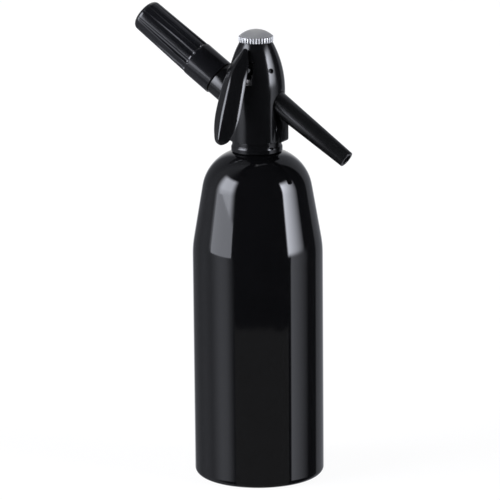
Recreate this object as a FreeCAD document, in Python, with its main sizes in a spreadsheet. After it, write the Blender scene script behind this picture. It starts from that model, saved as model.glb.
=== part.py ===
import FreeCAD, Part

import math
import os
import re

import Sketcher
from FreeCAD import Placement, Rotation, Vector

# A one-litre soda siphon, in millimetres. The origin is the centre of the bottle's foot and +Z is up.
# The spout leans down towards +X, the charger holder rises towards -X and the lever hangs on the -Y side.

# ---------------------------------------------------------------------------------------------------
# Driving dimensions
# ---------------------------------------------------------------------------------------------------

SIZES = [
    # clearances
    ("fit_gap", 0.05, "between two fixed pieces that sit one in the other"),
    ("run_gap", 0.08, "radial clearance of a pin or rod that moves in its bore"),
    ("part_gap", 0.3, "between pieces that move past each other"),
    # bottle
    ("body_r", 45.0, "outer radius of the bottle"),
    ("body_wall", 1.5, "wall of the bottle"),
    ("foot_round", 4.7, "radius of the corner at the foot"),
    ("foot_ring_r", 36.0, "inner radius of the flat ring the bottle stands on"),
    ("base_dome", 6.0, "height of the hollow under the base"),
    ("cylinder_h", 157.0, "height of the straight wall"),
    ("blend_r", 70.0, "radius between straight wall and cone"),
    ("cone_angle", 9.8, "slope of the tapered wall, in degrees from upright"),
    ("cone_h", 36.3, "height of the tapered wall"),
    ("shoulder_r", 30.8, "radius of the shoulder"),
    ("neck_r", 15.95, "outer radius of the neck below its thread"),
    ("neck_land", 4.0, "height of neck between the shoulder and the thread"),
    ("neck_bore_r", 10.8, "bore of the neck"),
    ("neck_thread_r", 13.8, "outer radius of the neck thread"),
    ("thread_h", 16.5, "height of the threaded neck"),
    # ring on the neck
    ("ring_r", 17.9, "outer radius of the neck ring at its flared foot"),
    ("ring_waist_r", 16.95, "outer radius of the neck ring above its flare"),
    ("ring_h", 3.7, "height of the neck ring above the bottle's land"),
    ("ring_skirt_h", 3.6, "how far the neck ring reaches down round the neck"),
    ("ring_round", 0.5, "rounding of the neck ring's foot"),
    ("ring_flare", 20.0, "radius of the hollow flare of the neck ring"),
    # head gasket and valve body
    ("gasket_h", 2.0, "thickness of the head gasket"),
    ("gasket_bore_r", 11.0, "bore of the head gasket"),
    ("skirt_r", 15.3, "outer radius of the threaded skirt"),
    ("skirt_h", 10.0, "depth of the skirt below the bottle's lip"),
    ("skirt_roof", 3.0, "thickness of metal over the gasket"),
    ("core_r", 12.5, "outer radius of the valve body above its skirt"),
    ("core_h", 29.0, "height of the valve body above the gasket"),
    ("chamber_r", 6.0, "radius of the valve chamber"),
    ("chamber_foot", 8.5, "height of the chamber floor above the gasket"),
    ("chamber_roof", 23.0, "height of the chamber roof above the gasket"),
    ("seat_h", 2.5, "thickness of the valve seat"),
    ("seat_bore_r", 2.5, "bore of the valve seat"),
    ("seat_lip", 0.6, "height of the raised lip of the valve seat"),
    ("seat_lip_r", 3.4, "outer radius of the raised lip"),
    # valve stem, its packing and its spring
    ("stem_r", 1.8, "radius of the valve stem"),
    ("stem_foot_r", 5.0, "radius of the plate at the foot of the stem"),
    ("stem_foot_h", 1.4, "thickness of that plate"),
    ("disc_r", 4.5, "radius of the rubber valve disc"),
    ("disc_h", 2.0, "thickness of the rubber valve disc"),
    ("packing_r", 4.0, "outer radius of the stem packing"),
    ("packing_h", 2.7, "height of the stem packing"),
    ("packing_floor", 1.3, "metal between chamber and packing"),
    ("gland_r", 5.0, "radius of the gland nut's thread"),
    ("gland_head_r", 5.8, "radius of the gland nut's head"),
    ("gland_head_h", 2.4, "height of the gland nut's head"),
    ("gland_slot_w", 1.2, "width of the screwdriver slot in the gland nut"),
    ("collar_r", 4.2, "radius of the lifting collar on the stem"),
    ("collar_h", 1.8, "thickness of the lifting collar"),
    ("spring_r", 3.4, "mean radius of the valve spring"),
    ("spring_wire_r", 0.55, "radius of the spring wire"),
    ("spring_turns", 5.5, "turns of the valve spring"),
    ("stem_end", 1.5, "depth of the stem's top below the casing's top"),
    # casing of the head
    ("casing_r", 19.2, "outer radius of the casing at its foot"),
    ("casing_straight", 22.7, "height of the straight foot of the casing"),
    ("swell", 0.5, "how far the casing swells above its foot"),
    ("swell_h", 12.0, "height over which it swells"),
    ("ogive_r", 69.2, "radius of the curve up to the cap"),
    ("ogive_h", 33.4, "height of that curve"),
    ("casing_wall", 2.1, "wall of the casing"),
    ("casing_lid", 4.5, "thickness of the casing under the cap"),
    ("cavity_straight", 6.0, "height of straight wall inside the casing below its widest place"),
    ("chin_stand", 2.6, "how far the chin under the spout stands outside the casing's widest radius"),
    ("chin_half_w", 5.75, "half the width of the chin"),
    ("chin_round", 2.0, "rounding of the chin's lower corner"),
    ("chin_drop", 6.0, "height of the spout's axis above the chin's top edge"),
    ("chin_side_round", 1.6, "rounding of the chin's upright edges"),
    ("tube_fillet", 2.0, "fillet between the inlet tube and the casing"),
    ("edge_round", 0.45, "rounding of the casing's other outer edges and of the charger holder's mouth"),
    ("slot_half_w", 6.0, "half the width of the lever slot"),
    ("slot_foot", 9.2, "depth of the slot's foot below the pivot"),
    ("slot_h", 15.5, "height of the lever slot"),
    # lever
    ("pivot_above", 35.7, "height of the pivot above the gasket"),
    ("pivot_offset", 8.0, "distance of the pivot from the bottle's axis"),
    ("press_angle", 13.0, "travel of the lever, in degrees"),
    ("pin_r", 1.7, "radius of the lever pin"),
    ("pin_inset", 1.25, "depth of the lever pin's ends in the casing's wall"),
    ("hub_r", 3.4, "radius of the lever's hub"),
    ("hub_half_w", 5.4, "half the width of the lever's hub and stalk"),
    ("finger_r", 1.5, "radius of the rounded finger ends"),
    ("finger_in", 2.3, "distance of a finger's inner face from the stem's axis"),
    ("finger_out", 4.8, "distance of a finger's outer face from the stem's axis"),
    ("leaf_top_in", 5.2, "distance of the leaf's top inside the casing's widest radius"),
    ("leaf_top_up", 15.3, "height of the leaf's top above the pivot"),
    ("leaf_tip_stand", 31.1, "distance of the leaf's tip outside the casing's widest radius"),
    ("leaf_tip_down", 44.4, "depth of the leaf's tip below the pivot"),
    ("leaf_half_w", 9.7, "greatest half-width of the leaf"),
    ("leaf_keel", 8.3, "greatest height of the keel above the leaf's rim"),
    ("leaf_belly", 1.1, "how far each flank bulges between rim and keel"),
    ("leaf_wall", 1.9, "wall of the leaf"),
    # cap
    ("cap_r", 11.95, "radius of the knurled cap"),
    ("cap_h", 3.9, "height of the knurled cap"),
    ("cap_chamfer", 0.4, "chamfer of the knurled cap's edges"),
    ("knurls", 36.0, "number of knurls"),
    ("knurl_r", 0.62, "radius of the groove between two knurls"),
    ("plug_r", 7.9, "radius of the cap's threaded plug"),
    ("plug_h", 6.0, "length of the cap's threaded plug"),
    ("spring_pocket_r", 4.6, "radius of the spring's pocket in the plug"),
    ("spring_pocket_h", 3.5, "depth of the spring's pocket"),
    ("pilot_h", 3.5, "depth of the stem's guide bore above the pocket"),
    ("washer_h", 0.8, "thickness of the cap washer"),
    ("washer_bore_r", 8.4, "bore of the cap washer"),
    ("washer_r", 9.9, "outer radius of the cap washer"),
    ("dome_r", 11.45, "radius of the dome on the cap"),
    ("dome_h", 4.45, "height of the dome above the cap's rim"),
    ("dome_foot_r", 9.0, "radius of the dome's foot in the cap"),
    ("dome_foot_h", 1.4, "depth of the dome's foot in the cap"),
    # spout, measured along its own axis from the bottle's axis
    ("spout_above", 23.5, "height above the gasket where the spout's axis starts"),
    ("spout_slope", 33.3, "slope of the spout, in degrees below level"),
    ("spout_foot_l", 11.5, "start of the spout's spigot"),
    ("spout_step_l", 16.0, "start of the spout's body"),
    ("spout_tip_l", 83.2, "end of the spout"),
    ("spout_root_r", 7.85, "outer radius of the spout at its root"),
    ("spout_tip_r", 5.75, "outer radius of the spout at its tip"),
    ("spout_bore_r", 3.7, "bore of the spout"),
    ("spigot_r", 5.2, "outer radius of the spout's spigot"),
    ("ring_groove_l", 12.7, "start of the sealing ring's groove"),
    ("seal_wire_r", 0.6, "radius of the spout's sealing ring in section"),
    ("spout_lump_r", 9.9, "radius of the metal round the spout's socket"),
    ("outlet_r", 3.3, "radius of the passage from chamber to spout"),
    ("outlet_foot_l", 5.0, "start of that passage"),
    # charger inlet and holder, measured along their own axis from the bottle's axis
    ("inlet_above", 5.45, "height above the gasket where the inlet's axis starts"),
    ("inlet_rise", 34.5, "slope of the inlet, in degrees above level"),
    ("inlet_lump_r", 11.5, "radius of the metal round the inlet's socket"),
    ("inlet_socket_l", 14.0, "floor of the inlet's threaded socket"),
    ("inlet_thread_r", 7.0, "radius of the inlet fitting's inner thread"),
    ("inlet_washer_h", 1.0, "thickness of the washer on that floor"),
    ("fitting_step_l", 20.0, "start of the inlet fitting's body"),
    ("fitting_r", 9.9, "radius of the inlet fitting's body"),
    ("seam_stand", 15.3, "how far past the casing's widest radius the inlet tube ends"),
    ("inlet_tube_r", 12.0, "outer radius of the casing's inlet tube"),
    ("inlet_tube_l", 9.5, "start of the casing's inlet tube"),
    ("holder_thread_r", 10.5, "radius of the thread for the charger holder"),
    ("holder_thread_l", 10.2, "length of the thread for the charger holder"),
    ("gas_bore_r", 1.5, "radius of the gas passage in the fitting"),
    ("gas_duct_r", 1.2, "radius of the gas passage in the valve body"),
    ("gas_duct_l", 11.5, "where the gas passage turns down"),
    ("cup_depth", 14.0, "depth of the floor of the fitting's inner bore below the inlet tube's end"),
    ("cup_r", 4.6, "radius of the pieces in the fitting's inner bore"),
    ("check_valve_h", 4.5, "length of the non-return valve"),
    ("sieve_h", 1.5, "thickness of the sieve"),
    ("pin_holder_h", 9.0, "length of the piercing pin's holder"),
    ("pin_socket_h", 6.0, "depth of the piercing pin in its holder"),
    ("pierce_r", 0.9, "radius of the piercing pin"),
    ("pierce_out", 4.0, "how far the piercing pin stands out of its holder"),
    ("pierce_bore_r", 0.35, "radius of the piercing pin's passage"),
    ("charger_seal_h", 1.5, "thickness of the charger seal"),
    ("charger_seal_bore_r", 1.7, "bore of the charger seal"),
    ("neck_cup_r", 5.15, "radius of the cup that takes the charger's neck"),
    # charger
    ("charger_r", 9.15, "radius of the charger"),
    ("charger_l", 65.5, "length of the charger"),
    ("charger_neck_r", 4.3, "radius of the charger's neck"),
    ("charger_neck_l", 8.0, "length of the charger's neck"),
    ("charger_shoulder_l", 8.5, "length of the charger's shoulder"),
    ("charger_end_l", 6.0, "length of the charger's rounded end"),
    ("charger_wall", 1.4, "wall of the charger"),
    ("charger_mouth_r", 1.4, "radius of the pierced hole in the charger's cap"),
    # charger holder
    ("holder_collar_r", 12.8, "outer radius of the holder's collar"),
    ("holder_collar_l", 23.4, "length of the holder's collar"),
    ("holder_grip_r", 12.45, "outer radius of the grip next to the collar"),
    ("holder_end_r", 11.55, "outer radius of the grip at its end"),
    ("holder_end", 3.6, "thickness of the holder's closed end"),
    ("holder_end_round", 3.9, "rounding of the holder's end"),
    ("insert_wall", 0.9, "wall of the threaded insert"),
    ("insert_l", 12.5, "length of the threaded insert"),
    ("flutes", 12.0, "number of flutes in the grip"),
    ("flute_r", 2.6, "radius of a flute"),
    ("flute_depth", 1.1, "depth of a flute next to the collar"),
    ("flute_end_depth", 0.25, "depth of a flute at the end"),
    ("flute_gap", 1.2, "distance of a flute from the collar"),
    # tubes in the bottle
    ("riser_r", 3.5, "outer radius of the riser tube"),
    ("riser_bore_r", 2.5, "bore of the riser tube"),
    ("riser_lift", 3.0, "distance of the riser tube from the base"),
    ("bush_h", 4.0, "height of the rubber bush round the riser tube"),
    ("bush_roof", 2.0, "metal between bush and chamber"),
    ("measure_r", 5.5, "outer radius of the measuring tube"),
    ("measure_bore_r", 4.6, "bore of the measuring tube"),
    ("measure_l", 50.0, "length of the measuring tube"),
    ("measure_socket", 2.2, "depth of the measuring tube in the valve body"),
]

# Places that follow from the sizes above. Each is a formula in their names.
LEVELS = [
    ("cone_foot_r", "body_r - blend_r * (1 - cos(cone_angle))"),
    ("cone_foot_z", "cylinder_h + blend_r * sin(cone_angle)"),
    ("cone_top_r", "cone_foot_r - cone_h * tan(cone_angle)"),
    ("cone_top_z", "cone_foot_z + cone_h"),
    ("crown_r", "cone_top_r - shoulder_r * cos(cone_angle)"),
    ("crown_z", "cone_top_z - shoulder_r * sin(cone_angle)"),
    ("inner_blend_r", "blend_r - body_wall"),
    ("inner_shoulder_r", "shoulder_r - body_wall"),
    ("dome_round", "(foot_ring_r ^ 2 + base_dome ^ 2) / (2 * base_dome)"),
    ("neck_foot_z", "crown_z + sqrt(shoulder_r ^ 2 - (neck_r - crown_r) ^ 2)"),
    ("land_z", "neck_foot_z + neck_land"),
    ("lip_z", "land_z + thread_h"),
    ("ring_top_z", "land_z + ring_h"),
    ("ring_foot_z", "land_z - ring_skirt_h"),
    ("roof_z", "lip_z + gasket_h"),
    ("casing_foot_z", "ring_top_z + part_gap"),
    ("swell_foot_z", "casing_foot_z + casing_straight"),
    ("swell_mid_z", "swell_foot_z + swell_h / 2"),
    ("swell_top_z", "swell_foot_z + swell_h"),
    ("swell_round", "(swell_h ^ 2 + swell ^ 2) / (4 * swell)"),
    ("casing_max_r", "casing_r + swell"),
    ("chin_reach", "casing_max_r + chin_stand"),
    ("seam_l", "casing_max_r + seam_stand"),
    ("casing_top_z", "swell_top_z + ogive_h"),
    ("casing_top_r", "casing_max_r - ogive_r + sqrt(ogive_r ^ 2 - ogive_h ^ 2)"),
    ("cavity_r", "casing_max_r - casing_wall"),
    ("cavity_top_z", "casing_top_z - casing_lid"),
    ("cavity_curve_r", "ogive_r - casing_wall"),
    ("cavity_top_r", "casing_max_r - ogive_r + sqrt(cavity_curve_r ^ 2 - (cavity_top_z - swell_top_z) ^ 2)"),
    ("chamber_foot_z", "roof_z + chamber_foot"),
    ("chamber_roof_z", "roof_z + chamber_roof"),
    ("seat_z", "chamber_foot_z + seat_h + seat_lip"),
    ("stem_foot_z", "seat_z + disc_h"),
    ("packing_z", "chamber_roof_z + packing_floor"),
    ("gland_z", "packing_z + packing_h"),
    ("core_top_z", "roof_z + core_h"),
    ("pivot_z", "roof_z + pivot_above"),
    ("casing_pivot_r", "casing_max_r - ogive_r + sqrt(ogive_r ^ 2 - (pivot_z - swell_top_z) ^ 2)"),
    ("pin_half_l", "sqrt(casing_pivot_r ^ 2 - pivot_offset ^ 2) - pin_inset"),
    ("leaf_top_out", "casing_max_r - leaf_top_in"),
    ("leaf_tip_out", "casing_max_r + leaf_tip_stand"),
    ("finger_z", "pivot_z - pivot_offset * tan(press_angle / 2)"),
    ("collar_z", "finger_z + finger_r + part_gap"),
    ("plug_foot_z", "casing_top_z - plug_h"),
    ("spring_seat_z", "plug_foot_z + spring_pocket_h"),
    ("cap_top_z", "casing_top_z + cap_h"),
    ("dome_curve_r", "(dome_r ^ 2 + dome_h ^ 2) / (2 * dome_h)"),
    ("spout_z", "roof_z + spout_above"),
    ("inlet_z", "roof_z + inlet_above"),
    ("thread_end_l", "seam_l + holder_thread_l"),
    ("valve_cup_l", "seam_l - cup_depth"),
    ("sieve_l", "valve_cup_l + check_valve_h"),
    ("pin_holder_l", "sieve_l + sieve_h"),
    ("charger_seal_l", "pin_holder_l + pin_holder_h"),
    ("mouth_l", "charger_seal_l + charger_seal_h"),
    ("neck_end_l", "mouth_l + charger_neck_l"),
    ("charger_body_l", "neck_end_l + charger_shoulder_l"),
    ("charger_end_at", "mouth_l + charger_l"),
    ("holder_l", "seam_l + part_gap"),
    ("insert_bore_r", "holder_thread_r + part_gap"),
    ("insert_r", "insert_bore_r + insert_wall"),
    ("grip_l", "holder_l + holder_collar_l"),
    ("holder_end_l", "charger_end_at + part_gap + holder_end"),
    ("holder_bore_r", "charger_r + part_gap"),
    ("duct_x", "0 - gas_duct_l * cos(inlet_rise)"),
    ("duct_z", "inlet_z + gas_duct_l * sin(inlet_rise)"),
    ("bush_z", "chamber_foot_z - bush_roof - bush_h"),
]

doc = FreeCAD.newDocument("soda_siphon")
sheet = doc.addObject("Spreadsheet::Sheet", "Sizes")
for row, (alias, size, note) in enumerate(SIZES, start=1):
    sheet.set(f"A{row}", alias)
    sheet.set(f"B{row}", str(size))
    sheet.setAlias(f"B{row}", alias)
    sheet.set(f"C{row}", note)
doc.recompute()

OWNER = {alias: "Sizes" for alias, _, _ in SIZES}
levels = doc.addObject("App::FeaturePython", "Levels")


def bound(formula):
    """The formula with each of its names preceded by the object that holds it."""
    return re.sub(r"[a-z_]+", lambda word: owned(word.group()), str(formula))


def owned(word):
    return f"{OWNER[word]}.{word}" if word in OWNER else word


def value(formula):
    """The number that a formula in the names of sizes and levels comes to."""
    return float(sheet.evalExpression(bound(formula)))


for name, formula in LEVELS:
    levels.addProperty("App::PropertyFloat", name)
    levels.setExpression(name, bound(formula))
    OWNER[name] = "Levels"
doc.recompute()

# ---------------------------------------------------------------------------------------------------
# Helpers
# ---------------------------------------------------------------------------------------------------

# Where a piece lies: the height at which its own axis leaves the bottle's, and its turn about +Y.
UPRIGHT = ("0", "0")
ALONG_SPOUT = ("spout_z", "90 + spout_slope")
ALONG_INLET = ("inlet_z", "inlet_rise - 90")

X_AXIS = Vector(1, 0, 0)
Y_AXIS = Vector(0, 1, 0)
Z_AXIS = Vector(0, 0, 1)


def origin_part(body, role):
    return [part for part in body.Origin.OriginFeatures if part.Role == role][0]


def lay(thing, lie):
    """Lays a piece made along +Z on one of the siphon's three axes."""
    height, turn = lie
    if lie == UPRIGHT:
        return
    thing.Placement = Placement(Vector(0, 0, value(height)), Rotation(Y_AXIS, value(turn)))
    thing.setExpression("Placement.Base.z", bound(height))
    thing.setExpression("Placement.Rotation.Angle", bound(turn))


def arc_between(start, end, bend):
    """The short arc from start to end of radius |bend|, anticlockwise where bend is positive."""
    radius = abs(bend)
    chord = end - start
    side = Vector(-chord.y, chord.x, 0).normalize() * math.copysign(1, bend)
    centre = (start + end) * 0.5 + side * math.sqrt(radius**2 - chord.Length**2 / 4)
    first, last = (start, end) if bend > 0 else (end, start)
    angles = [math.atan2(point.y - centre.y, point.x - centre.x) for point in (first, last)]
    return Part.ArcOfCircle(Part.Circle(centre, Z_AXIS, radius), *angles)


def bind(sketch, kind, place, formula):
    """Adds a constraint whose value follows a formula, or holds a point on the axis where it is 0."""
    if formula == "0":
        axis = -2 if kind == "DistanceX" else -1
        sketch.addConstraint(Sketcher.Constraint("PointOnObject", *place[-2:], axis))
        return
    index = sketch.addConstraint(Sketcher.Constraint(kind, *place, value(formula)))
    sketch.setExpression(f"Constraints[{index}]", bound(formula))


def draw(sketch, outline):
    """Draws a closed outline of corners (across, up) or (across, up, bend of the arc that follows)."""
    points = [Vector(value(corner[0]), value(corner[1]), 0) for corner in outline]
    ends = []
    for index, corner in enumerate(outline):
        start = points[index]
        end = points[(index + 1) % len(points)]
        bend = value(corner[2]) if len(corner) > 2 else 0
        if bend:
            edge = sketch.addGeometry(arc_between(start, end, bend))
        else:
            edge = sketch.addGeometry(Part.LineSegment(start, end))
        ends.append((edge, 1, 2) if bend >= 0 else (edge, 2, 1))
    for index, corner in enumerate(outline):
        edge, first, _ = ends[index]
        before, _, last = ends[index - 1]
        sketch.addConstraint(Sketcher.Constraint("Coincident", before, last, edge, first))
        bind(sketch, "DistanceX", (-1, 1, edge, first), corner[0])
        bind(sketch, "DistanceY", (-1, 1, edge, first), corner[1])
        if len(corner) > 2:
            bind(sketch, "Radius", (edge,), corner[2].replace("-", "", 1))


def sketch_on(body, role, name):
    sketch = body.newObject("Sketcher::SketchObject", name)
    sketch.AttachmentSupport = [(origin_part(body, role), "")]
    sketch.MapMode = "FlatFace"
    return sketch


def turned(name, outline, lie=UPRIGHT):
    """A body turned about its own axis from an outline of (radius, height) corners."""
    body = doc.addObject("PartDesign::Body", name)
    sketch = sketch_on(body, "XZ_Plane", f"{name}_outline")
    draw(sketch, outline)
    turn = body.newObject("PartDesign::Revolution", f"{name}_turn")
    turn.Profile = sketch
    turn.ReferenceAxis = (sketch, ["V_Axis"])
    turn.Angle = 360
    lay(body, lie)
    return body


def ring(name, inner, outer, low, high, lie=UPRIGHT):
    """A plain turned ring, disc or sleeve."""
    return turned(name, [(inner, low), (outer, low), (outer, high), (inner, high)], lie)


def drill(name, radius, low, high, lie=UPRIGHT):
    """A round tool or boss from low to high along one of the siphon's axes."""
    height, turn = lie
    tool = doc.addObject("Part::Cylinder", name)
    tool.setExpression("Radius", bound(radius))
    tool.setExpression("Height", bound(f"({high}) - ({low})"))
    tool.Placement = Placement(Vector(0, 0, value(low)), Rotation(Y_AXIS, value(turn)))
    tool.setExpression("Placement.Base.x", bound(f"({low}) * sin({turn})"))
    tool.setExpression("Placement.Base.z", bound(f"({height}) + ({low}) * cos({turn})"))
    tool.setExpression("Placement.Rotation.Angle", bound(turn))
    return tool


def cross_drill(name, radius, half_length):
    """A round tool or pin along the lever's pivot, which runs across the siphon."""
    tool = doc.addObject("Part::Cylinder", name)
    tool.setExpression("Radius", bound(radius))
    tool.setExpression("Height", bound(f"2 * ({half_length})"))
    tool.Placement = Placement(Vector(0, 0, 0), Rotation(Y_AXIS, 90))
    tool.setExpression("Placement.Base.x", bound(f"0 - ({half_length})"))
    tool.setExpression("Placement.Base.y", bound("0 - pivot_offset"))
    tool.setExpression("Placement.Base.z", bound("pivot_z"))
    return tool


def box(name, corner, size):
    tool = doc.addObject("Part::Box", name)
    for side, formula in zip(("Length", "Width", "Height"), size):
        tool.setExpression(side, bound(formula))
    for axis, formula in zip("xyz", corner):
        tool.setExpression(f"Placement.Base.{axis}", bound(formula))
    return tool


def fused(name, *pieces):
    whole = doc.addObject("Part::MultiFuse", name)
    whole.Shapes = list(pieces)
    return whole


def cut(name, base, *tools):
    left = doc.addObject("Part::Cut", name)
    left.Base = base
    left.Tool = tools[0] if len(tools) == 1 else fused(f"{name}_tools", *tools)
    return left


def repeated(body, feature, count):
    """Repeats a feature round the body's own axis."""
    pattern = body.newObject("PartDesign::PolarPattern", f"{feature.Name}_round")
    pattern.Originals = [feature]
    pattern.Axis = (origin_part(body, "Z_Axis"), [""])
    pattern.Angle = 360
    pattern.setExpression("Occurrences", bound(count))
    body.Tip = pattern


def shaped(name, shape):
    feature = doc.addObject("Part::Feature", name)
    feature.Shape = shape
    return feature


# ---------------------------------------------------------------------------------------------------
# Bottle: spun aluminium, with a hollow base, a tapered upper wall and a threaded neck
# ---------------------------------------------------------------------------------------------------

bottle = turned("bottle", [
    ("0", "base_dome", "-dome_round"),
    ("foot_ring_r", "0"),
    ("body_r - foot_round", "0", "foot_round"),
    ("body_r", "foot_round"),
    ("body_r", "cylinder_h", "blend_r"),
    ("cone_foot_r", "cone_foot_z"),
    ("cone_top_r", "cone_top_z", "shoulder_r"),
    ("neck_r", "neck_foot_z"),
    ("neck_r", "land_z"),
    ("neck_thread_r", "land_z"),
    ("neck_thread_r", "lip_z"),
    ("neck_bore_r", "lip_z"),
    ("neck_bore_r", "crown_z + sqrt(inner_shoulder_r ^ 2 - (neck_bore_r - crown_r) ^ 2)",
     "-inner_shoulder_r"),
    ("crown_r + inner_shoulder_r * cos(cone_angle)", "crown_z + inner_shoulder_r * sin(cone_angle)"),
    ("body_r - blend_r + inner_blend_r * cos(cone_angle)", "cylinder_h + inner_blend_r * sin(cone_angle)",
     "-inner_blend_r"),
    ("body_r - body_wall", "cylinder_h"),
    ("body_r - body_wall", "foot_round", "-(foot_round - body_wall)"),
    ("body_r - foot_round", "body_wall"),
    ("foot_ring_r", "body_wall", "dome_round"),
    ("0", "base_dome + body_wall"),
])

neck_ring = turned("neck_ring", [
    ("neck_thread_r + fit_gap", "land_z"),
    ("neck_r + fit_gap", "land_z"),
    ("neck_r + fit_gap", "ring_foot_z"),
    ("ring_r - ring_round", "ring_foot_z", "ring_round"),
    ("ring_r", "ring_foot_z + ring_round", "-ring_flare"),
    ("ring_waist_r", "land_z"),
    ("ring_waist_r", "ring_top_z"),
    ("neck_thread_r + fit_gap", "ring_top_z"),
])

head_gasket = ring("head_gasket", "gasket_bore_r", "neck_thread_r", "lip_z", "roof_z")

# ---------------------------------------------------------------------------------------------------
# Valve body: a metal casting that screws on the neck and holds the valve, the spout and the inlet
# ---------------------------------------------------------------------------------------------------

core_blank = turned("core_blank", [
    ("neck_thread_r + part_gap", "lip_z - skirt_h"),
    ("skirt_r", "lip_z - skirt_h"),
    ("skirt_r", "roof_z + skirt_roof"),
    ("core_r", "roof_z + skirt_roof"),
    ("core_r", "core_top_z"),
    ("0", "core_top_z"),
    ("0", "roof_z"),
    ("neck_thread_r + part_gap", "roof_z"),
])
spout_lump = drill("spout_lump", "spout_lump_r", "outlet_foot_l", "spout_tip_l / 2", ALONG_SPOUT)
inlet_lump = drill("inlet_lump", "inlet_lump_r", "chamber_r", "fitting_step_l", ALONG_INLET)
lump_limit = drill("lump_limit", "skirt_r", "roof_z", "core_top_z")
core_lumps = doc.addObject("Part::MultiCommon", "core_lumps")
core_lumps.Shapes = [fused("lumps", spout_lump, inlet_lump), lump_limit]

core_bores = turned("core_bores", [
    ("0", "roof_z - part_gap"),
    ("measure_r + fit_gap", "roof_z - part_gap"),
    ("measure_r + fit_gap", "bush_z + bush_h"),
    ("riser_r + fit_gap", "bush_z + bush_h"),
    ("riser_r + fit_gap", "chamber_foot_z"),
    ("chamber_r", "chamber_foot_z"),
    ("chamber_r", "chamber_roof_z"),
    ("stem_r + run_gap", "chamber_roof_z"),
    ("stem_r + run_gap", "packing_z"),
    ("packing_r + fit_gap", "packing_z"),
    ("packing_r + fit_gap", "gland_z"),
    ("gland_r + fit_gap", "gland_z"),
    ("gland_r + fit_gap", "core_top_z + part_gap"),
    ("0", "core_top_z + part_gap"),
])
spout_socket = turned("spout_socket", [
    ("0", "outlet_foot_l"),
    ("outlet_r", "outlet_foot_l"),
    ("outlet_r", "spout_foot_l"),
    ("spigot_r + fit_gap", "spout_foot_l"),
    ("spigot_r + fit_gap", "spout_step_l"),
    ("spout_root_r + part_gap", "spout_step_l"),
    ("spout_root_r + part_gap", "spout_tip_l / 2"),
    ("0", "spout_tip_l / 2"),
], ALONG_SPOUT)
inlet_socket = turned("inlet_socket", [
    ("0", "gas_duct_l - gas_duct_r"),
    ("gas_duct_r", "gas_duct_l - gas_duct_r"),
    ("gas_duct_r", "inlet_socket_l"),
    ("inlet_thread_r + fit_gap", "inlet_socket_l"),
    ("inlet_thread_r + fit_gap", "fitting_step_l"),
    ("fitting_r + part_gap", "fitting_step_l"),
    ("fitting_r + part_gap", "seam_l"),
    ("0", "seam_l"),
], ALONG_INLET)
gas_duct = drill("gas_duct", "gas_duct_r", "roof_z - part_gap", "duct_z")
gas_duct.setExpression("Placement.Base.x", bound("duct_x"))

valve_body = cut("valve_body", fused("core_solid", core_blank, core_lumps),
                 core_bores, spout_socket, inlet_socket, gas_duct)

valve_seat = turned("valve_seat", [
    ("seat_bore_r", "chamber_foot_z"),
    ("chamber_r - fit_gap", "chamber_foot_z"),
    ("chamber_r - fit_gap", "seat_z - seat_lip"),
    ("seat_lip_r", "seat_z - seat_lip"),
    ("seat_lip_r", "seat_z"),
    ("seat_bore_r", "seat_z"),
])
stem_packing = ring("stem_packing", "stem_r + run_gap", "packing_r", "packing_z", "gland_z")
gland_blank = turned("gland_blank", [
    ("stem_r + part_gap", "gland_z"),
    ("gland_r", "gland_z"),
    ("gland_r", "core_top_z"),
    ("gland_head_r", "core_top_z"),
    ("gland_head_r", "core_top_z + gland_head_h"),
    ("stem_r + part_gap", "core_top_z + gland_head_h"),
])
gland_slot = box("gland_slot",
                 ("0 - gland_head_r", "0 - gland_slot_w / 2", "core_top_z + gland_head_h - gland_slot_w"),
                 ("2 * gland_head_r", "gland_slot_w", "2 * gland_slot_w"))
gland_nut = cut("gland_nut", gland_blank, gland_slot)

# ---------------------------------------------------------------------------------------------------
# Valve stem with its rubber disc, lifting collar and spring
# ---------------------------------------------------------------------------------------------------

valve_stem = turned("valve_stem", [
    ("0", "stem_foot_z"),
    ("stem_foot_r", "stem_foot_z"),
    ("stem_foot_r", "stem_foot_z + stem_foot_h"),
    ("stem_r", "stem_foot_z + stem_foot_h"),
    ("stem_r", "casing_top_z - stem_end"),
    ("0", "casing_top_z - stem_end"),
])
valve_disc = ring("valve_disc", "0", "disc_r", "seat_z", "stem_foot_z")
lift_collar = ring("lift_collar", "stem_r + fit_gap", "collar_r", "collar_z", "collar_z + collar_h")


def coil_spring():
    """A wire swept up a helix between the lifting collar and the roof of its pocket in the cap."""
    radius = value("spring_r")
    wire = value("spring_wire_r")
    foot = value("collar_z + collar_h + fit_gap") + wire
    height = value("spring_seat_z - fit_gap") - wire - foot
    helix = Part.makeHelix(height / value("spring_turns"), height, radius)
    section = Part.Wire(Part.makeCircle(wire, Vector(radius, 0, 0), Y_AXIS))
    coil = Part.Wire(helix.Edges).makePipeShell([section], True, True)
    coil.translate(Vector(0, 0, foot))
    return coil


valve_spring = shaped("valve_spring", coil_spring())

# ---------------------------------------------------------------------------------------------------
# Casing of the head: a moulded cover with an inlet tube, a chin under the spout and a lever slot
# ---------------------------------------------------------------------------------------------------

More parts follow.
